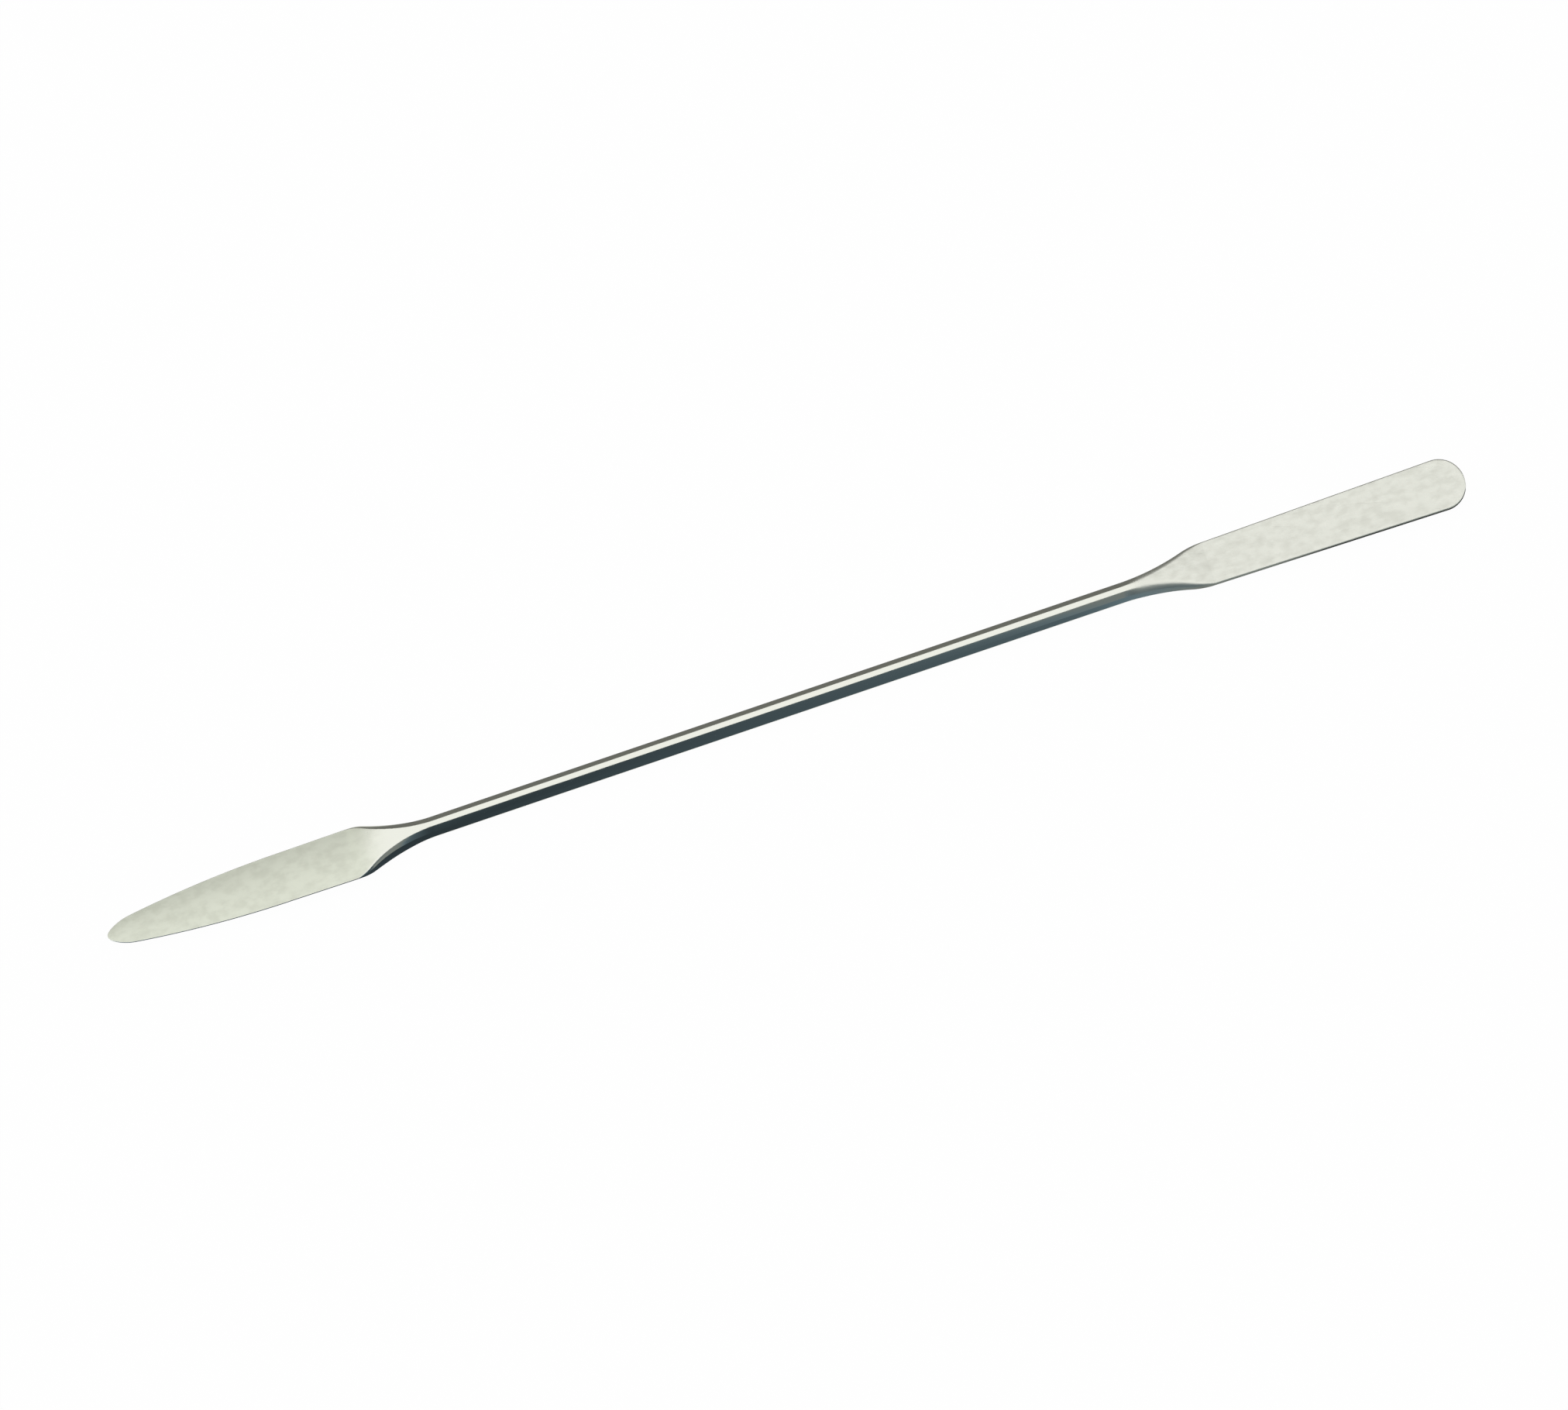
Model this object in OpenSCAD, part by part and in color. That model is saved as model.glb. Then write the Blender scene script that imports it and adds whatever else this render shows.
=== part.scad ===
// Double-ended laboratory spatula, one piece of round steel rod.
// Both ends of the rod are forged flat: into a blade with a round end towards +X, and into
// a lance blade towards -X. The origin lies midway along the spatula, on the surface that
// the shank rests on. The blades' flat faces look up and down.

/* [Whole spatula] */
// Length from the lance's nose to the round end
overall_len = 210; // [180:1:260]
// Diameter of the round shank
shank_d = 3; // [2.4:0.1:4]

/* [Round blade] */
// Length of the round blade, from its shoulders to its end
round_len = 39.5; // [25:0.5:55]
// Length of the flare between the shank and the round blade's shoulders
round_flare_len = 13.5; // [8:0.5:20]
// Width of the round blade at its shoulders
round_shoulder_w = 7.5; // [6:0.1:9]
// Width of the round blade where its end starts to round off
round_end_w = 8.8; // [7:0.1:12]
// Length over which the round end curves in
round_end_len = 3.8; // [2:0.1:6]
// Radius of the round blade's shoulders, seen from above
round_shoulder_r = 12; // [1:0.5:20]
// Thickness of the round blade in the middle
round_t = 0.6; // [0.4:0.05:1.2]
// Thickness of the round blade along its edge
round_edge_t = 0.6; // [0.15:0.05:1]
// How late along its flare the round blade thins down: 1 is an even slope, more is later
round_thin_late = 2; // [1.5:0.1:6]
// How softly that thinning ends at the blade: 1 leaves a crease, more is softer
round_thin_soft = 1; // [1:0.1:2]

/* [Lance blade] */
// Length of the lance blade, from its shoulders to its nose
lance_len = 37.6; // [30:0.1:55]
// Length of the flare between the shank and the lance blade's shoulders
lance_flare_len = 13; // [7:0.5:20]
// Width of the lance blade at its shoulders
lance_shoulder_w = 8.6; // [7:0.1:10]
// Width of the lance blade where its sides start to curve to the nose
lance_point_w = 8.4; // [6:0.1:9]
// Length over which the lance's sides curve to the nose
lance_point_len = 28; // [12:0.5:32]
// Radius of the lance blade's shoulders, seen from above
lance_shoulder_r = 7; // [1:0.5:20]
// Width that the curved sides would reach at the very tip, if the nose weren't rounded
nose_w = 3.3; // [1.2:0.1:4]
// Length over which the nose rounds off
nose_len = 3.8; // [0.6:0.1:5]
// Thickness of the lance blade in the middle, where it is widest
lance_t = 0.55; // [0.25:0.05:1.2]
// Thickness of the lance blade along its edge
lance_edge_t = 0.2; // [0.15:0.05:1]
// How late along its flare the lance blade thins down: 1 is an even slope, more is later
lance_thin_late = 4.5; // [1.5:0.1:6]
// How softly that thinning ends at the blade: 1 leaves a crease, more is softer
lance_thin_soft = 1.5; // [1:0.1:2]

/* [Faces and edges] */
// How late across a blade its faces fall to a thinner edge: 2 is an even crown, more is flatter
crown_late = 2; // [2:0.5:8]
// How far behind a blade's tip its faces reach their full height
tip_slope_len = 0.5; // [0.2:0.05:0.6]
// How late along its flare a blade's edge sharpens: 1 is evenly, more is later
sharpen_late = 2; // [1.5:0.1:4]
// Radius that rounds a blade's edge, as a share of the edge's thickness
edge_round = 0.4; // [0.2:0.05:0.45]

/* [Hidden] */

// Segments in each quarter of a rounded edge, in half of a face, and in each stretch of a
// blade's outline
edge_steps = 8;
face_steps = 3;
flare_steps = 12;
shoulder_steps = 5;
point_steps = 10;
end_steps = 9;

shank_r = shank_d / 2;
// The shank's round surface is made of this many narrow sides, and it rests on one of them.
// Their middles lie on the true circle, so their corners stand out a little.
shank_sides = 100;
shank_corner_r = shank_r / cos(180 / shank_sides);
tip_x = overall_len / 2;
// Half the angle of one segment of a rounded edge, and how far its corners stand out
half_step = 45 / edge_steps;
corner_out = 1 / cos(half_step);
// A forged end starts just inside the shank's surface and runs this far back into it
inside = 0.999;
buried_r = inside * shank_r / corner_out;
buried_len = shank_r;

// Points of an arc between two leans. A lean is the angle of the outward normal from the
// Y axis towards the blade's tip. A negative radius makes the arc hollow. An arc that goes
// on from another leaves out its first point.
function arc(centre, radius, from_lean, to_lean, steps, first = 0) =
    [
        for (i = [first : steps])
        let (lean = from_lean + (to_lean - from_lean) * i / steps)
        centre + radius * [sin(lean), cos(lean)]
    ];

// The lean of the straight line between two points of an outline
function lean_of(from, to) = atan2(from.y - to.y, to.x - from.x);

// Outline from the shank to a shoulder: a hollow arc that leaves the shank smoothly, and
// the shoulder's own arc, which runs smoothly into the blade's side.
function flare(start_x, shoulder, side_lean, shoulder_r) =
    let (
        bend = shoulder - shoulder_r * [sin(side_lean), cos(side_lean)],
        run = bend.x - start_x,
        drop = buried_r - bend.y,
        hollow_r = (run * run + drop * drop - shoulder_r * shoulder_r) / (2 * (shoulder_r - drop)),
        hollow = [start_x, buried_r + hollow_r],
        meet_lean = atan2(hollow.x - bend.x, hollow.y - bend.y)
    )
    concat(
        arc(hollow, -hollow_r, 0, meet_lean, flare_steps),
        arc(bend, shoulder_r, meet_lean, side_lean, shoulder_steps, first = 1)
    );

// Outline of the round blade beyond its shoulder: a straight side, then half an ellipse
function round_outline() =
    let (
        shoulder = [tip_x - round_len, round_shoulder_w / 2],
        side_end = [tip_x - round_end_len, round_end_w / 2]
    )
    concat(
        flare(shoulder.x - round_flare_len, shoulder, lean_of(shoulder, side_end), round_shoulder_r),
        [
            for (i = [0 : end_steps])
            let (turn = 90 * i / end_steps)
            side_end + [round_end_len * sin(turn), side_end.y * (cos(turn) - 1)]
        ]
    );

// Half-width of the lance's curved point: a parabola from its full width to the nose's
function point_half_w(x) =
    let (along = (x - tip_x) / lance_point_len + 1)
    (lance_point_w - (lance_point_w - nose_w) * along * along) / 2;

// Outline of the lance blade: a straight side, the curved point and the rounded nose
function lance_outline() =
    let (
        shoulder = [tip_x - lance_len, lance_shoulder_w / 2],
        side_end = [tip_x - lance_point_len, lance_point_w / 2],
        nose_x = tip_x - nose_len
    )
    concat(
        flare(shoulder.x - lance_flare_len, shoulder, lean_of(shoulder, side_end), lance_shoulder_r),
        [
            for (i = [0 : point_steps - 1])
            let (x = side_end.x + (nose_x - side_end.x) * i / point_steps)
            [x, point_half_w(x)]
        ],
        [
            for (i = [0 : end_steps])
            let (turn = 90 * i / end_steps, x = nose_x + nose_len * sin(turn))
            [x, point_half_w(x) * cos(turn)]
        ]
    );

// The outward normal at a point of an outline, square to the line between its neighbours
function outward(outline, i) =
    let (
        last = len(outline) - 1,
        before = outline[max(i - 1, 0)],
        after = i == last ? [before.x, -before.y] : outline[i + 1],
        lean = i == 0 ? 0 : lean_of(before, after)
    )
    [sin(lean), cos(lean)];

// From 1 on the shank, where it starts level, to 0 at the shoulder
function roundness(outline, flare_len, late, soft, i) =
    let (along = (outline[i].x - outline[0].x) / flare_len)
    pow(1 - pow(min(along, 1), late), soft);

// The rounded edge at one point of the outline, from below to above, as points in space.
// Each quarter of the rounding is cut inwards, square to the outline.
function rim_points(point, normal, half_t, radius) =
    [
        for (i = [0 : 2 * edge_steps - 1])
        let (
            turn = (2 * i + 1) * half_step - 90,
            inset = radius * (1 - corner_out * cos(turn)),
            side = sign(turn)
        )
        [
            point.x - inset * normal.x,
            max(point.y - inset * normal.y, 0),
            side * (half_t - radius) + radius * corner_out * sin(turn)
        ]
    ];

// A point of a face, a number of steps in from the rim, where the face rises to z in the
// middle. The middle itself lies half a step beyond the last point.
function face_point(rim_point, normal, z, step) =
    let (
        across = 1 - step / (face_steps + 0.5),
        raised = 1 - pow(across, crown_late)
    )
    [
        rim_point.x - tip_slope_len * normal.x * raised,
        rim_point.y * across,
        rim_point.z + (z - rim_point.z) * raised
    ];

// One side of a section: the face below from the middle out, the rim, and the face above
function side_points(point, normal, half_t, rim_half_t, radius) =
    let (
        rim = rim_points(point, normal, rim_half_t, min(radius, rim_half_t)),
        above = rim[len(rim) - 1]
    )
    concat(
        [for (step = [face_steps : -1 : 1]) face_point(rim[0], normal, -half_t, step)],
        rim,
        [for (step = [1 : face_steps]) face_point(above, normal, half_t, step)]
    );

// A size that runs from the shank's radius to the blade's own, with the section's roundness
function forged(size, round_part) = size + (buried_r - size) * round_part;

// One forged end: sections from the shank to the blade's tip, closed at the tip by the rim.
// The face that closes the buried end starts at the rim, because three points in one line
// can't tell which way a face looks.
module forged_end(outline, flare_len, thin_late, thin_soft, blade_t, edge_t) {
    last = len(outline) - 1;
    count = 2 * edge_steps + 2 * face_steps;
    ring = 2 * count;
    widest = max([for (point = outline) point.y]);
    sides = [
        for (i = [0 : last])
        let (
            round_part = roundness(outline, flare_len, thin_late, thin_soft, i),
            round_corner = roundness(outline, flare_len, sharpen_late, 1, i),
            crown = (blade_t - edge_t) * outline[i].y / widest
        )
        side_points(
            outline[i],
            outward(outline, i),
            forged((edge_t + crown) / 2, round_part),
            forged(edge_t / 2, round_part),
            forged(edge_round * edge_t, round_corner)
        )
    ];
    buried = [for (point = sides[0]) point - [buried_len, 0, 0]];
    sections = [
        for (side = concat([buried], [for (i = [0 : last - 1]) sides[i]]))
        concat(side, [for (i = [1 : count]) [side[count - i].x, -side[count - i].y, side[count - i].z]])
    ];
    points = concat([for (section = sections) each section], sides[last]);
    tip = ring * len(sections);
    near = tip - ring;
    faces = concat(
        [[for (j = [0 : ring - 1]) (j + face_steps) % ring]],
        [
            for (i = [0 : len(sections) - 2], j = [0 : ring - 1])
            let (here = i * ring, next = (j + 1) % ring)
            [here + j, here + ring + j, here + ring + next, here + next]
        ],
        [
            for (j = [0 : count - 2])
            each [
                [near + j, tip + j, tip + j + 1, near + j + 1],
                [near + ring - 1 - j, near + ring - 2 - j, tip + j + 1, tip + j]
            ]
        ],
        [
            [near + count - 1, tip + count - 1, near + count],
            [near + ring - 1, tip, near]
        ]
    );
    polyhedron(points, faces);
}

// The shank and the two forged ends in one solid
module spatula() {
    round_start = tip_x - round_len - round_flare_len;
    lance_start = tip_x - lance_len - lance_flare_len;
    color("lightgray")
    translate([0, 0, shank_r])
    union() {
        translate([-lance_start, 0, 0])
        rotate([0, 90, 0])
        rotate([0, 0, 180 / shank_sides])
        cylinder(h = lance_start + round_start, r = shank_corner_r, $fn = shank_sides);

        forged_end(
            round_outline(), round_flare_len, round_thin_late, round_thin_soft, round_t, round_edge_t
        );

        rotate([0, 0, 180])
        forged_end(
            lance_outline(), lance_flare_len, lance_thin_late, lance_thin_soft, lance_t, lance_edge_t
        );
    }
}

spatula();
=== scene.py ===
# %% [markdown]
# # A double-ended laboratory spatula
# The object is one piece of stainless steel: a round rod, forged flat at both ends. One end
# is a blade with a round end, the other is a lance blade. The construction model gives its
# place and size, and this lesson gives it its final surface, its finish and a small studio.
# Everything is in metres. +X runs to the round end, and +Z is up.

import bmesh
import bpy
import numpy as np
from mathutils import Matrix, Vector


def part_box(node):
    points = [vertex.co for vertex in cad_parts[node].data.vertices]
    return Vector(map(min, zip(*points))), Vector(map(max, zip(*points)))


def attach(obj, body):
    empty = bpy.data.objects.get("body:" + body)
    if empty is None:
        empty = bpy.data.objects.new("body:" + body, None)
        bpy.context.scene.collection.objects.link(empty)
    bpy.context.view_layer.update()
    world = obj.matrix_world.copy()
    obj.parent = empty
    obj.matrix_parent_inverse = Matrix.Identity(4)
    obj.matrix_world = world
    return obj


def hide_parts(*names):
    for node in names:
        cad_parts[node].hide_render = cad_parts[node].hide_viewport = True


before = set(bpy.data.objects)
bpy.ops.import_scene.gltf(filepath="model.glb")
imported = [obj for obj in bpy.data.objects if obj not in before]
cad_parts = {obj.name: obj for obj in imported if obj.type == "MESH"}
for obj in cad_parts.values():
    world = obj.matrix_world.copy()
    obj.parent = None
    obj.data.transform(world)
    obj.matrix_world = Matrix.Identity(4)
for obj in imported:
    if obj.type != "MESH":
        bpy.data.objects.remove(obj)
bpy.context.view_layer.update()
low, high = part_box("spatula")
print("construction box in mm:", [round(1000 * (b - a), 2) for a, b in zip(low, high)])

# %% [markdown]
# ## The sizes of the forging
# The frame already knows the whole length and the rod's diameter, because they are the
# length and the height of the box. The rest are the sizes of the two blades, which a maker
# would read off a drawing. Each blade is a small record of named values, so that the same
# functions can shape both of them. Four values hold for both: how late across the width a
# crowned face falls, how far behind the tip it reaches its height, how late along the flare
# the corners sharpen, and how round the edge is.

# %% Sizes in metres
MM = 0.001
TIP_X = float(high.x - low.x) / 2
SHANK_R = float(high.z - low.z) / 2
CROWN_LATE = 2.0
TIP_SLOPE_LEN = 0.5 * MM
SHARPEN_LATE = 2.0
EDGE_ROUND = 0.4

ROUND_BLADE = {
    "length": 39.5 * MM,
    "flare": 13.5 * MM,
    "shoulder_w": 7.5 * MM,
    "shoulder_r": 12 * MM,
    "thickness": 0.6 * MM,
    "edge": 0.6 * MM,
    "thin_late": 2.0,
    "thin_soft": 1.0,
    "end_w": 8.8 * MM,
    "end_len": 3.8 * MM,
}
LANCE_BLADE = {
    "length": 37.6 * MM,
    "flare": 13 * MM,
    "shoulder_w": 8.6 * MM,
    "shoulder_r": 7 * MM,
    "thickness": 0.55 * MM,
    "edge": 0.2 * MM,
    "thin_late": 4.5,
    "thin_soft": 1.5,
    "point_w": 8.4 * MM,
    "point_len": 28 * MM,
    "nose_w": 3.3 * MM,
    "nose_len": 3.8 * MM,
}
print(f"half length {TIP_X / MM:.1f} mm, shank radius {SHANK_R / MM:.2f} mm")

# %% [markdown]
# ## The outline, seen from above
# A blade's outline is drawn the way a toolmaker would draw it. A hollow arc leaves the shank
# without a corner, a second arc rounds the shoulder, a straight side follows, and the end
# closes it. A spline through traced points would also work, but arcs keep every tangent
# exact, and polished steel shows the smallest kink in its reflections.


# %% The flare between shank and shoulder
HOLLOW_POINTS = 64
SHOULDER_POINTS = 24


def arc(centre, radius, from_lean, to_lean, count):
    """Points of an arc: centre + radius * (sin lean, cos lean), for leans from one to the other.

    A lean is the angle of the outward normal from +Y towards the tip. A negative radius
    makes the arc hollow."""
    lean = np.linspace(from_lean, to_lean, count)
    return np.asarray(centre) + radius * np.stack([np.sin(lean), np.cos(lean)], axis=1)


def flare(blade, shoulder, side_lean):
    """A hollow arc tangent to the shank, then the shoulder's arc, tangent to it and to the side.

    The two centres are as far apart as the two radii together, which gives the hollow
    radius: (run^2 + drop^2 - r^2) / (2 * (r - drop)), with r the shoulder's radius."""
    r = blade["shoulder_r"]
    start_x = shoulder[0] - blade["flare"]
    bend = shoulder - r * np.array([np.sin(side_lean), np.cos(side_lean)])
    run = bend[0] - start_x
    drop = SHANK_R - bend[1]
    hollow_r = (run**2 + drop**2 - r**2) / (2 * (r - drop))
    hollow = np.array([start_x, SHANK_R + hollow_r])
    meet = np.arctan2(hollow[0] - bend[0], hollow[1] - bend[1])
    print(f"flare: hollow radius {hollow_r / MM:.1f} mm, steepest {-np.degrees(meet):.1f} degrees")
    return np.vstack([
        arc(hollow, -hollow_r, 0, meet, HOLLOW_POINTS),
        arc(bend, r, meet, side_lean, SHOULDER_POINTS)[1:],
    ])


# %% The two blade outlines
ROUND_SIDE_POINTS = 60
ROUND_END_POINTS = 40
LANCE_SIDE_POINTS = 36
LANCE_POINT_POINTS = 60
NOSE_POINTS = 32


def side_line(start, end, count):
    """Points strictly between start and end: start + (end - start) * t, with 0 < t < 1."""
    t = np.linspace(0, 1, count + 2)[1:-1, None]
    return start + (end - start) * t


def round_outline(blade):
    """Flare, straight side, then a quarter of an ellipse, which closes the end with its mirror image.

    The ellipse is (x, y) = side end + (end_len sin a, half end_w (cos a - 1)), for a to 90."""
    shoulder = np.array([TIP_X - blade["length"], blade["shoulder_w"] / 2])
    side_end = np.array([TIP_X - blade["end_len"], blade["end_w"] / 2])
    side_lean = np.arctan2(shoulder[1] - side_end[1], side_end[0] - shoulder[0])
    turn = np.linspace(0, np.pi / 2, ROUND_END_POINTS)
    round_x = blade["end_len"] * np.sin(turn)
    round_y = side_end[1] * (np.cos(turn) - 1)
    return np.vstack([
        flare(blade, shoulder, side_lean),
        side_line(shoulder, side_end, ROUND_SIDE_POINTS),
        side_end + np.stack([round_x, round_y], axis=1),
    ])


def lance_outline(blade):
    """Flare, straight side, a parabola to the nose's width, then a quarter turn round the nose.

    The parabola is w(t) = point_w - (point_w - nose_w) t^2, with t from 0 to 1 at the nose."""
    shoulder = np.array([TIP_X - blade["length"], blade["shoulder_w"] / 2])
    side_end = np.array([TIP_X - blade["point_len"], blade["point_w"] / 2])
    side_lean = np.arctan2(shoulder[1] - side_end[1], side_end[0] - shoulder[0])
    nose_x = TIP_X - blade["nose_len"]

    def half_w(x):
        t = (x - side_end[0]) / blade["point_len"]
        return (blade["point_w"] - (blade["point_w"] - blade["nose_w"]) * t**2) / 2

    point_x = np.linspace(side_end[0], nose_x, LANCE_POINT_POINTS)[:-1]
    turn = np.linspace(0, np.pi / 2, NOSE_POINTS)
    round_x = nose_x + blade["nose_len"] * np.sin(turn)
    return np.vstack([
        flare(blade, shoulder, side_lean),
        side_line(shoulder, side_end, LANCE_SIDE_POINTS),
        np.stack([point_x, half_w(point_x)], axis=1),
        np.stack([round_x, half_w(round_x) * np.cos(turn)], axis=1),
    ])


outlines = {"round": round_outline(ROUND_BLADE), "lance": lance_outline(LANCE_BLADE)}
print("outline points:", {name: len(points) for name, points in outlines.items()})

# %% [markdown]
# ## The section, from round to flat
# Forging turns the rod's circle into a thin plate. The round blade stays an even plate, and
# the lance is ground to a slight crown, highest in the middle and thin at its rim. Every
# section is described by its half-width, its half-height in the middle and at the rim, and
# its corner radius. On the shank they all equal the rod's radius, which is a circle. On the
# blade they are the blade's own, and the crown is in proportion to the width, so that it
# meets the rim at the same slope all along. A power of the distance along the flare carries
# each from one to the other: the corners sharpen first, and the thickness follows, late and
# softly on the lance, and with a faint crease at the shoulder on the round blade. The edges
# are rounded square to the outline, so that the rounding also runs evenly round the tips.


# %% One row of section values for each outline point
SHANK_POINTS = 40


def normals_of(outline):
    """Outward unit normals: square to the line between each point's two neighbours.

    The point after the tip is the mirror image of the one before it."""
    before = np.vstack([outline[:1] - [MM, 0], outline[:-1]])
    after = np.vstack([outline[1:], outline[-2] * [1, -1]])
    along = after - before
    along /= np.linalg.norm(along, axis=1, keepdims=True)
    return np.stack([-along[:, 1], along[:, 0]], axis=1)


def stations(outline, blade):
    """Columns x, half-width, normal x, normal y, three heights, and s along the flare.

    The heights are half the thickness in the middle, half of it at the rim, and the corner
    radius. Each is SHANK_R + (its value on the blade - SHANK_R) * share, with s from 0 to 1
    along the flare. The share is 1 - (1 - s ^ thin_late) ^ thin_soft for the first two and
    s ^ SHARPEN_LATE for the radius, which is never more than the rim's height."""
    s = np.clip((outline[:, :1] - outline[0, 0]) / blade["flare"], 0, 1)
    flat = 1 - (1 - s ** blade["thin_late"]) ** blade["thin_soft"]
    shares = np.hstack([flat, flat, s**SHARPEN_LATE])
    edge = np.full_like(s, blade["edge"] / 2)
    crown = (blade["thickness"] - blade["edge"]) / 2 * outline[:, 1:] / outline[:, 1].max()
    on_blade = np.hstack([edge + crown, edge, 2 * EDGE_ROUND * edge])
    heights = SHANK_R + (on_blade - SHANK_R) * shares
    heights[:, 2] = np.minimum(heights[:, 2], heights[:, 1])
    return np.hstack([outline, normals_of(outline), heights, s])


round_rows = stations(outlines["round"], ROUND_BLADE)
lance_rows = stations(outlines["lance"], LANCE_BLADE)[::-1] * [-1, 1, -1, 1, 1, 1, 1, 1]
shank_x = np.linspace(lance_rows[-1, 0], round_rows[0, 0], SHANK_POINTS)[1:-1]
shank_rows = np.tile([0, SHANK_R, 0, 1, SHANK_R, SHANK_R, SHANK_R, 0], (len(shank_x), 1))
shank_rows[:, 0] = shank_x
rows = np.vstack([lance_rows, shank_rows, round_rows])
print(f"{len(rows)} sections, shank {1000 * (shank_x[-1] - shank_x[0]):.0f} mm long")

# %% [markdown]
# ## The surface
# The skin is a grid: one row for each section, and one column for each direction round it.
# All the points are worked out as whole arrays. Where the section is a circle, the flats
# have no width, and at the tips the two sides meet, so some points fall together. They are
# merged at the end, which closes the surface.


# %% Work out the skin
EDGE_STEPS = 18
FACE_STEPS = 20


def skin(rows):
    """Points (row, column, 3), and how far each lies on the rim's rounding (row, column).

    Right rim: inset = r (1 - cos a), z = +-(e - r) + r sin a, for a from -90 to 90 degrees.
    The inset is cut along the outline's normal. The left rim mirrors it in y. Across each
    face, y goes evenly from rim to rim, with u from -1 to 1, and the height goes from the
    rim's to the middle's with 1 - |u| ^ CROWN_LATE. By the same share, times the normal's x,
    the points lie back from the tip, up to TIP_SLOPE_LEN in the middle."""
    x, w, nx, ny, h, e, r, _ = (column[:, None] for column in rows.T)
    quarter = np.linspace(0, np.pi / 2, EDGE_STEPS + 1)
    turn = np.concatenate([quarter - np.pi / 2, quarter])[None, :]
    side = np.repeat([-1.0, 1.0], EDGE_STEPS + 1)[None, :]
    inset = r * (1 - np.cos(turn))
    rim_y = np.maximum(w - inset * ny, 0)
    rim_z = side * (e - r) + r * np.sin(turn)
    right = np.stack([x - inset * nx, rim_y, rim_z], axis=2)
    left = right[:, ::-1] * [1, -1, 1]

    across = np.linspace(1, -1, FACE_STEPS + 1)[1:-1][None, :]
    raised = 1 - np.abs(across) ** CROWN_LATE
    face_x = right[:, -1:, 0] - TIP_SLOPE_LEN * nx * raised
    face_y = right[:, -1:, 1] * across
    face_z = e + (h - e) * raised
    above = np.stack([face_x, face_y, face_z], axis=2)
    below = above[:, ::-1] * [1, 1, -1]
    on_rim = np.cos(turn) * np.ones_like(x)
    nothing = np.zeros(face_z.shape)
    return (
        np.concatenate([right, above, left, below], axis=1) + [0, 0, SHANK_R],
        np.concatenate([on_rim, nothing, on_rim[:, ::-1], nothing], axis=1),
    )


points, on_edge = skin(rows)
print("grid of", points.shape[:2], "points")


# %% Make the mesh
def grid_faces(rows_n, columns_n):
    """Quads between neighbouring rows, the columns closing on themselves."""
    i, j = np.meshgrid(np.arange(rows_n - 1), np.arange(columns_n), indexing="ij")
    here = i * columns_n
    there = here + columns_n
    right = (j + 1) % columns_n
    return np.stack([here + j, there + j, there + right, here + right], axis=-1).reshape(-1, 4)


def mesh_from_grid(name, points, attributes):
    """A closed mesh of the grid, with float attributes, and with points that coincide merged."""
    mesh = bpy.data.meshes.new(name)
    faces = grid_faces(*points.shape[:2])
    mesh.from_pydata(points.reshape(-1, 3), [], faces)
    for key, values in attributes.items():
        layer = mesh.attributes.new(key, "FLOAT", "POINT")
        layer.data.foreach_set("value", np.ascontiguousarray(values, dtype=np.float32).ravel())
    work = bmesh.new()
    work.from_mesh(mesh)
    bmesh.ops.remove_doubles(work, verts=work.verts, dist=1e-7)
    bmesh.ops.recalc_face_normals(work, faces=work.faces)
    volume = work.calc_volume()
    work.to_mesh(mesh)
    work.free()
    edges = np.empty(len(mesh.loops), dtype=np.int32)
    mesh.loops.foreach_get("edge_index", edges)
    open_edges = np.count_nonzero(np.bincount(edges, minlength=len(mesh.edges)) != 2)
    mesh.polygons.foreach_set("use_smooth", np.ones(len(mesh.polygons), dtype=bool))
    print(f"{name}: {len(mesh.polygons)} faces, {open_edges} open edges, {volume * 1e9:.0f} mm3")
    return mesh


along_flare = np.repeat(rows[:, 7:8], points.shape[1], axis=1)
spatula_mesh = mesh_from_grid("forged_spatula", points, {"flare": along_flare, "edge": on_edge})
spatula = bpy.data.objects.new("forged_spatula", spatula_mesh)
bpy.context.scene.collection.objects.link(spatula)
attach(spatula, "root")
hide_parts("spatula")

# %% [markdown]
# ## The steel
# All of the object is the same metal, but it doesn't have the same finish everywhere. The
# shank keeps the shine of drawn wire, with faint lines along it. The pressed faces are satin:
# tumbling with fine grit leaves a close grain, a slight cloudiness and a few handling marks.
# The round blade turns satin as soon as it starts to widen. The lance has a slightly warmer
# and duller face, and its flare stays bright until close to the shoulder. The edges have a
# finish of their own, as they come from a file or a belt: the lance's thin edge is brighter
# than its face, and the round blade's edge is a little duller than its face. Three materials
# would need two borders, and a border is just what a forging lacks. So there is one material,
# and the two attributes of the mesh, flare and edge, lead it from one finish to the next.


# %% Helpers for node trees
def add_node(tree, kind, settings=None, **inputs):
    """Adds a node, sets its options, and gives each input, by name or as i0, i1, a value or a link."""
    node = tree.nodes.new(kind)
    for key, value in (settings or {}).items():
        setattr(node, key, value)
    for key, value in inputs.items():
        socket = node.inputs[int(key[1:]) if key[1:].isdigit() else key.replace("_", " ")]
        if isinstance(value, bpy.types.NodeSocket):
            tree.links.new(value, socket)
        else:
            socket.default_value = value
    return node


def math(tree, operation, a, b=0.0, c=0.0):
    """One number from up to three: the result of a Math node."""
    return add_node(tree, "ShaderNodeMath", {"operation": operation}, i0=a, i1=b, i2=c).outputs[0]


def ramp(tree, value, start, end, low=0.0, high=1.0):
    """A soft step: low before start, high after end, and an S-curve between them."""
    return add_node(
        tree, "ShaderNodeMapRange", {"interpolation_type": "SMOOTHSTEP"},
        Value=value, From_Min=start, From_Max=end, To_Min=low, To_Max=high,
    ).outputs[0]


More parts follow.
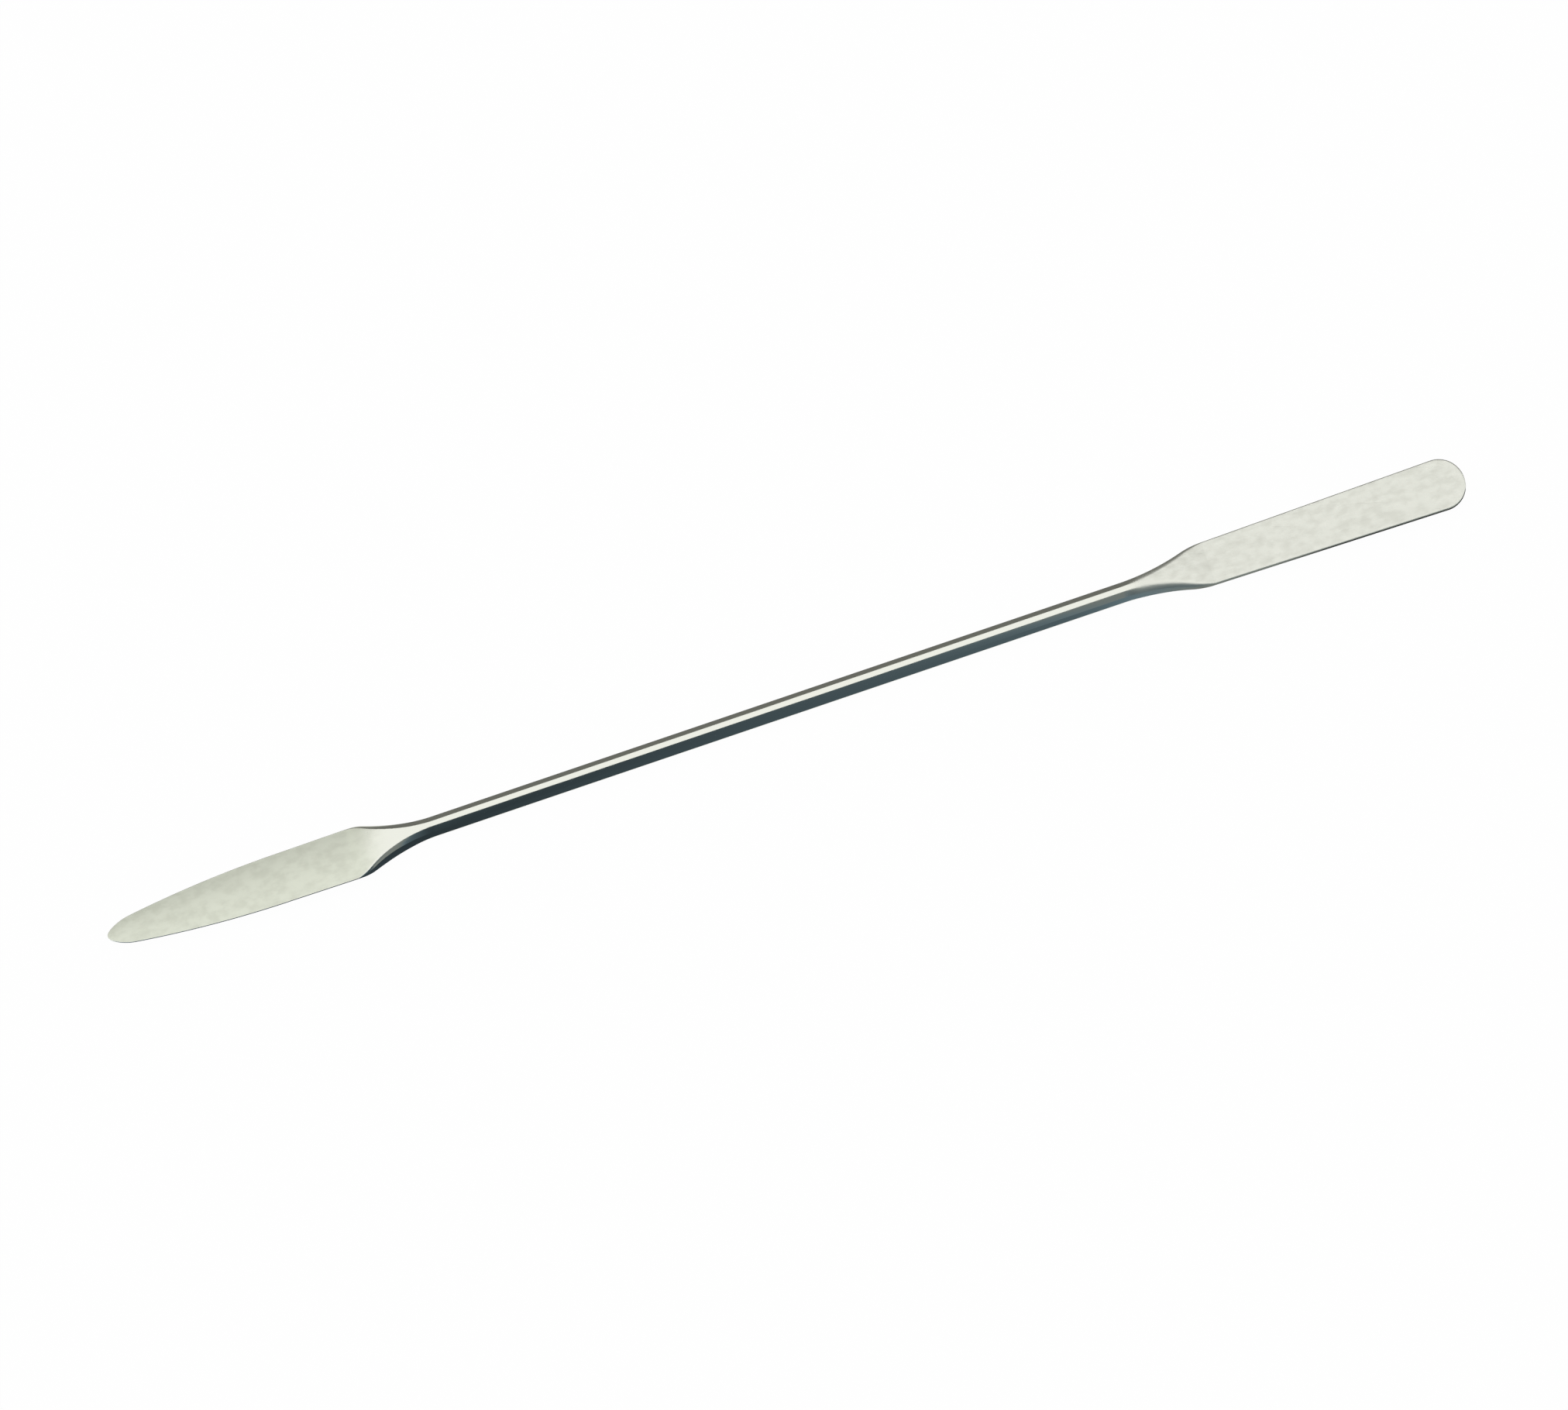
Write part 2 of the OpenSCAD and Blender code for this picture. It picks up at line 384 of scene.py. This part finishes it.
def noise(tree, place, per_metre, detail=2.0, turn=0.0):
    """Noise from about -1 to 1, with so many grains a metre along each axis, turned about Z."""
    about_z = {"rotation_type": "Z_AXIS"}
    turned = add_node(tree, "ShaderNodeVectorRotate", about_z, Vector=place, Angle=turn).outputs[0]
    times = {"operation": "MULTIPLY"}
    grain = add_node(tree, "ShaderNodeVectorMath", times, i0=turned, i1=per_metre).outputs[0]
    texture = add_node(tree, "ShaderNodeTexNoise", Vector=grain, Scale=1.0, Detail=detail)
    return math(tree, "MULTIPLY_ADD", texture.outputs["Fac"], 4.0, -2.0)


# %% The marks on the steel
# Grains a metre along X, Y and Z, and for each mark the height it gives the surface. A scratch
# begins and is full at the two values of MARK_PEAKS, and runs at one of two slants, in radians.
LINES = (60, 5200, 5200)
GRAIN = (3600, 3600, 3600)
CLOUDS = (650, 900, 900)
MARKS = (70, 1900, 1900)
LINE_HEIGHT = 0.9e-6
GRAIN_HEIGHT = 0.7e-6
CLOUD_HEIGHT = 2.2e-6
MARK_DEPTH = 1.5e-6
MARK_PEAKS = (0.75, 1.0)
MARK_SLANTS = (0.35, -1.1)


def marks(tree, place, turn):
    """Short straight scratches at one slant: only the peaks of a stretched noise count."""
    return ramp(tree, noise(tree, place, MARKS, 1.0, turn), *MARK_PEAKS)


# %% The steel's values
POLISHED_ROUGHNESS = 0.1
STEEL = (0.8, 0.81, 0.735, 1)
DULL_STEEL = (0.735, 0.742, 0.668, 1)
WHITE = (1, 1, 1, 1)

# The lines and the clouds change the roughness a little. The colour turns dull over the range
# of the clouds in DULL_CLOUDS, and RIM_SOFT into its rounding an edge has its own finish.
LINE_ROUGHNESS = 0.012
CLOUD_ROUGHNESS = 0.025
DULL_CLOUDS = (-0.6, 0.9)
RIM_SOFT = 0.15

# Each pair is the round blade's value and the lance's: the roughness of the faces and of the
# edges, how far along the flare the satin begins and is full, and the depth of its marks.
FACE_ROUGHNESS = (0.3, 0.42)
EDGE_ROUGHNESS = (0.4, 0.25)
SATIN_FROM = (0.0, 0.4)
SATIN_FULL = (0.25, 1.0)
DEPTH = (2.2, 1.1)
LANCE_TINT = (0.968, 0.99, 0.936, 1)


# %% The steel's material
def mix(tree, share, first, second):
    """A colour between two others, at the given share of the second."""
    colours = {"data_type": "RGBA"}
    return add_node(tree, "ShaderNodeMix", colours, i0=share, i6=first, i7=second).outputs[2]


def multiplied(tree, first, second):
    """Two colours multiplied."""
    colours = {"data_type": "RGBA", "blend_type": "MULTIPLY"}
    return add_node(tree, "ShaderNodeMix", colours, i0=1.0, i6=first, i7=second).outputs[2]


def stainless_steel():
    """Drawn and bright on the shank, satin on the pressed faces, and filed on their edges."""
    material = bpy.data.materials.new("stainless_steel")
    material.use_nodes = True
    tree = material.node_tree
    tree.nodes.clear()
    place = add_node(tree, "ShaderNodeTexCoord").outputs["Object"]
    flare = add_node(tree, "ShaderNodeAttribute", {"attribute_name": "flare"}).outputs["Fac"]
    edge = add_node(tree, "ShaderNodeAttribute", {"attribute_name": "edge"}).outputs["Fac"]
    towards_round = add_node(tree, "ShaderNodeSeparateXYZ", Vector=place).outputs[0]
    on_lance = math(tree, "LESS_THAN", towards_round, 0.0)

    def of_blade(pair):
        """The first value on the round blade's half of the object, the second on the lance's."""
        return math(tree, "MULTIPLY_ADD", on_lance, pair[1] - pair[0], pair[0])

    on_rim = ramp(tree, edge, 0.0, RIM_SOFT)
    pressed = ramp(tree, flare, of_blade(SATIN_FROM), of_blade(SATIN_FULL))
    filed = math(tree, "MULTIPLY", pressed, on_rim)
    satin = math(tree, "SUBTRACT", pressed, filed)
    lines = noise(tree, place, LINES, 3.0)
    clouds = noise(tree, place, CLOUDS, 3.0)
    scratched = math(tree, "MAXIMUM", *(marks(tree, place, slant) for slant in MARK_SLANTS))

    on_face = math(tree, "SUBTRACT", of_blade(FACE_ROUGHNESS), POLISHED_ROUGHNESS)
    on_edge = math(tree, "SUBTRACT", of_blade(EDGE_ROUGHNESS), POLISHED_ROUGHNESS)
    rough = math(tree, "MULTIPLY_ADD", satin, on_face, POLISHED_ROUGHNESS)
    rough = math(tree, "MULTIPLY_ADD", filed, on_edge, rough)
    clouded = math(tree, "MULTIPLY", clouds, satin)
    rough = math(tree, "MULTIPLY_ADD", clouded, CLOUD_ROUGHNESS, rough)
    rough = math(tree, "MULTIPLY_ADD", lines, LINE_ROUGHNESS, rough)

    height = math(tree, "MULTIPLY", noise(tree, place, GRAIN, 1.0), GRAIN_HEIGHT)
    height = math(tree, "MULTIPLY_ADD", clouds, CLOUD_HEIGHT, height)
    height = math(tree, "MULTIPLY_ADD", scratched, -MARK_DEPTH, height)
    height = math(tree, "MULTIPLY", height, math(tree, "MULTIPLY", satin, of_blade(DEPTH)))
    height = math(tree, "MULTIPLY_ADD", lines, LINE_HEIGHT, height)
    bump = add_node(tree, "ShaderNodeBump", Height=height, Strength=1.0, Distance=1.0)

    dull = math(tree, "MULTIPLY", ramp(tree, clouds, *DULL_CLOUDS), satin)
    tint = mix(tree, math(tree, "MULTIPLY", on_lance, satin), WHITE, LANCE_TINT)
    shader = add_node(
        tree, "ShaderNodeBsdfPrincipled",
        Base_Color=multiplied(tree, mix(tree, dull, STEEL, DULL_STEEL), tint),
        Metallic=1.0, Roughness=rough, Normal=bump.outputs["Normal"],
    )
    tree.links.new(shader.outputs[0], add_node(tree, "ShaderNodeOutputMaterial").inputs["Surface"])
    return material


spatula_mesh.materials.append(stainless_steel())
print("steel: roughness", POLISHED_ROUGHNESS, "on the shank,", FACE_ROUGHNESS, "on the two blades")

# %% [markdown]
# ## The studio
# Bright metal has hardly a colour of its own: what it mirrors is what is seen. A person who
# photographs cutlery therefore builds the reflections. A long softbox overhead gives the
# bright line along the shank and the even tone of the faces. The two cards are no lamps and
# light nothing: they glow, only the metal's reflections see them, and their glow is painted
# light and shade. A dim navy card in front paints the dark line beside the bright one, and a
# grey card behind paints the thin grey line on the far side. The navy card's glow is graded:
# it is darkest in front of the lance's flare and lighter to both sides, painted as if light
# reached a card from its ends. Beside the round flare it is painted lighter and nearly grey.
# Past that its lying part is dark again, and paints the dark edge of the round blade. The grey
# card's glow is painted lighter beside the lance and far out towards it, which keeps the far
# side of that flare light. The cards are hidden from the camera, and so is the softbox, so
# that the object lies free on a white floor.


# %% Planes and their plain colours
def plane(name, corner, across, up, material):
    """A flat rectangle with one corner and two edges given, which isn't part of the object."""
    corner, across, up = (np.array(v, dtype=float) for v in (corner, across, up))
    mesh = bpy.data.meshes.new(name)
    mesh.from_pydata([corner, corner + across, corner + across + up, corner + up], [], [(0, 1, 2, 3)])
    mesh.materials.append(material)
    thing = bpy.data.objects.new(name, mesh)
    bpy.context.scene.collection.objects.link(thing)
    return thing


def new_tree(name):
    """A material with nothing in its node tree."""
    material = bpy.data.materials.new(name)
    material.use_nodes = True
    material.node_tree.nodes.clear()
    return material, material.node_tree


def seen_directly(tree):
    """1 for what the camera, metal or glass sees, and 0 for the light that falls on things."""
    path = add_node(tree, "ShaderNodeLightPath").outputs
    shiny = math(tree, "MAXIMUM", path["Is Glossy Ray"], path["Is Transmission Ray"])
    return math(tree, "MAXIMUM", path["Is Camera Ray"], shiny)


# %% The white floor
FLOOR_SIDE = 8.0
FLOOR_COLOUR = (0.95, 0.95, 0.95, 1)
FLOOR_WHITE = 0.98


def white_floor():
    """Matt and pale, with part of it seen as plain white, so that the shadow stays but is light."""
    material, tree = new_tree("white_floor")
    matt = add_node(tree, "ShaderNodeBsdfDiffuse", Color=FLOOR_COLOUR).outputs[0]
    white = add_node(tree, "ShaderNodeEmission", Strength=1.0).outputs[0]
    share = math(tree, "MULTIPLY", seen_directly(tree), FLOOR_WHITE)
    mixed = add_node(tree, "ShaderNodeMixShader", i0=share, i1=matt, i2=white).outputs[0]
    tree.links.new(mixed, add_node(tree, "ShaderNodeOutputMaterial").inputs["Surface"])
    return material


floor_corner = (-FLOOR_SIDE / 2, -FLOOR_SIDE / 2, 0)
plane("floor", floor_corner, (FLOOR_SIDE, 0, 0), (0, FLOOR_SIDE, 0), white_floor())
print("floor:", FLOOR_SIDE, "m square")

# %% The cards that the metal mirrors
CARD_LEN = 1.6
CARD_GAP = 0.0015
CARD_LIFT = 0.0002
# The colours and grades below set the cards' glow, which is painted light and shade seen only in the
# steel's reflections.
NAVY = (0.0595, 0.0855, 0.105, 1)
# The slate is a painted colour of the reflection beside the round flare.
SLATE_REFLECTION = (0.079, 0.0855, 0.084, 1)
# Painted light and shade of the navy card's glow along X: darkest at one x, lighter away from it and
# beside the round flare, and its lying part dark again past that flare.
NAVY_DARKEST_X = -0.056
NAVY_DARKEST = 0.5
NAVY_SLOPE = 9.0
NAVY_PAINTED_LIFT = 1.6
NAVY_PAINTED_END = 0.1
# The grey card's glow is painted lighter beside the lance and far out towards it, which keeps the far
# side of the lance's flare light in reflection.
GREY = (0.17, 0.172, 0.162, 1)
GREY_PAINTED_LIGHTER = 3.5

# Where a card lies out to along Y, and how high it stands there.
NAVY_CARD = (-0.35, 0.96)
GREY_CARD = (0.6, 0.69)

# The two places along X between which a card's painted light or its colour makes a soft step.
NAVY_PAINTED_LIFT_X = (0.042, 0.057)
NAVY_PAINTED_END_X = (0.073, 0.084)
SLATE_REFLECTION_X = (0.053, 0.064)
GREY_LYING_X = (-0.063, -0.058)
GREY_STANDING_X = (-0.4, -0.2)


def glowing(name, radiance, colour=WHITE):
    """Gives off light by itself. Both values are plain ones, or functions of the node tree."""
    material, tree = new_tree(name)
    strength = radiance(tree) if callable(radiance) else radiance
    hue = colour(tree) if callable(colour) else colour
    tone = add_node(tree, "ShaderNodeEmission", Color=hue, Strength=strength).outputs[0]
    tree.links.new(tone, add_node(tree, "ShaderNodeOutputMaterial").inputs["Surface"])
    return material


def card_x(tree):
    """How far along X a point of a card lies."""
    place = add_node(tree, "ShaderNodeTexCoord").outputs["Object"]
    return add_node(tree, "ShaderNodeSeparateXYZ", Vector=place).outputs[0]


def navy_painted_light(tree):
    """Painted light and shade: (darkest + slope * |x - x0|) * lift, the lift stepping softly up at the
    round flare.
    """
    x = card_x(tree)
    away = math(tree, "ABSOLUTE", math(tree, "SUBTRACT", x, NAVY_DARKEST_X))
    grade = math(tree, "MULTIPLY_ADD", away, NAVY_SLOPE, NAVY_DARKEST)
    return math(tree, "MULTIPLY", grade, ramp(tree, x, *NAVY_PAINTED_LIFT_X, 1.0, NAVY_PAINTED_LIFT))


def navy_painted_light_with_end(tree):
    """The same painted light, but past the round flare it falls softly to a small share: painted
    shade.
    """
    end = ramp(tree, card_x(tree), *NAVY_PAINTED_END_X, 1.0, NAVY_PAINTED_END)
    return math(tree, "MULTIPLY", navy_painted_light(tree), end)


def navy_reflection_hue(tree):
    """Navy, and a plain slate from beside the round flare on: a painted colour for the reflection
    there.
    """
    return mix(tree, ramp(tree, card_x(tree), *SLATE_REFLECTION_X), NAVY, SLATE_REFLECTION)


def grey_painted_light(step_x):
    """Painted light: lighter by a factor before the first x, and 1 after the second, with a soft step
    between.
    """
    return lambda tree: ramp(tree, card_x(tree), *step_x, GREY_PAINTED_LIGHTER, 1.0)


def card(name, lying, standing, y, top):
    """A glowing card, seen only in reflections, lying from beside the object out to y and standing to
    top.
    """
    near = (-CARD_LEN / 2, np.copysign(CARD_GAP, y), CARD_LIFT)
    bend = (-CARD_LEN / 2, y, CARD_LIFT)
    parts = [
        plane(name + "_lying", near, (CARD_LEN, 0, 0), np.subtract(bend, near), lying),
        plane(name + "_standing", bend, (CARD_LEN, 0, 0), (0, 0, top), standing),
    ]
    # Only glossy rays see the card, so its glow is a painted reflection on the steel.
    for part in parts:
        for ray in ("camera", "diffuse", "shadow", "transmission"):
            setattr(part, "visible_" + ray, False)


# The cards' materials glow with painted light and shade for the steel's reflections.
navy_lying = glowing("navy_card_lying", navy_painted_light_with_end, navy_reflection_hue)
navy_standing = glowing("navy_card_standing", navy_painted_light, navy_reflection_hue)
grey_lying = glowing("grey_card_lying", grey_painted_light(GREY_LYING_X), GREY)
grey_standing = glowing("grey_card_standing", grey_painted_light(GREY_STANDING_X), GREY)
card("navy_card", navy_lying, navy_standing, *NAVY_CARD)
card("grey_card", grey_lying, grey_standing, *GREY_CARD)
print("cards:", CARD_LEN, "m long")

# %% The softbox, the fill light and the room
SOFTBOX_RADIANCE = 1.065
SOFTBOX_CORNER = (-1.05, 0.51, 0.6)
SOFTBOX_ALONG_X = 1.7
SOFTBOX_ALONG_Y = -0.72
FILL_SIDE = 2.0
FILL_POWER = 5.0
FILL_PLACE = (-0.6, -0.6, 1.8)
ROOM_LIGHT = 0.4

lit = glowing("softbox", SOFTBOX_RADIANCE)
softbox = plane("softbox", SOFTBOX_CORNER, (SOFTBOX_ALONG_X, 0, 0), (0, SOFTBOX_ALONG_Y, 0), lit)
softbox.visible_camera = False

fill = bpy.data.lights.new("fill", "AREA")
fill.shape = "SQUARE"
fill.size = FILL_SIDE
fill.energy = FILL_POWER
fill_lamp = bpy.data.objects.new("fill", fill)
fill_lamp.location = FILL_PLACE
fill_lamp.rotation_euler = (-fill_lamp.location).to_track_quat("-Z", "Y").to_euler()
fill_lamp.visible_glossy = False
fill_lamp.visible_camera = False
bpy.context.scene.collection.objects.link(fill_lamp)

world = bpy.data.worlds.new("room")
world.use_nodes = True
room = world.node_tree
room.nodes.clear()
brightness = math(room, "MULTIPLY_ADD", seen_directly(room), 1.0 - ROOM_LIGHT, ROOM_LIGHT)
background = add_node(room, "ShaderNodeBackground", Color=WHITE, Strength=brightness)
room.links.new(background.outputs[0], add_node(room, "ShaderNodeOutputWorld").inputs["Surface"])
bpy.context.scene.world = world
print("softbox radiance", SOFTBOX_RADIANCE, "room", ROOM_LIGHT)

# %% [markdown]
# ## The camera
# The spatula is seen square to its length, from about sixty degrees above the blades, with
# the camera rolled so that the round end points up and to the right. A long lens keeps the
# shank's sides parallel. Its distance is the width of the view times lens over sensor.

# %% Camera
LENS = 250.0
SENSOR = 36.0
ELEVATION = np.radians(60)
ROLL = np.radians(18.74)
VIEW_W = 0.2299
AIM = np.array([0.0, 0.0, SHANK_R])
ASIDE = -0.28 * MM
RAISED = 0.295 * MM

up = np.array([0, np.sin(ELEVATION), np.cos(ELEVATION)])
back = np.array([0, -np.cos(ELEVATION), np.sin(ELEVATION)])
along = np.array([1.0, 0, 0])
camera_x = np.cos(ROLL) * along - np.sin(ROLL) * up
camera_y = np.sin(ROLL) * along + np.cos(ROLL) * up
camera_data = bpy.data.cameras.new("camera")
camera_data.lens = LENS
camera_data.sensor_width = SENSOR
camera = bpy.data.objects.new("camera", camera_data)
camera.matrix_world = Matrix(np.column_stack([camera_x, camera_y, back]).tolist()).to_4x4()
camera.location = AIM + ASIDE * camera_x + RAISED * camera_y + back * VIEW_W * LENS / SENSOR
bpy.context.scene.collection.objects.link(camera)
bpy.context.scene.camera = camera
bpy.context.scene.view_settings.view_transform = "Standard"
print(f"camera {camera.location.length:.2f} m away")
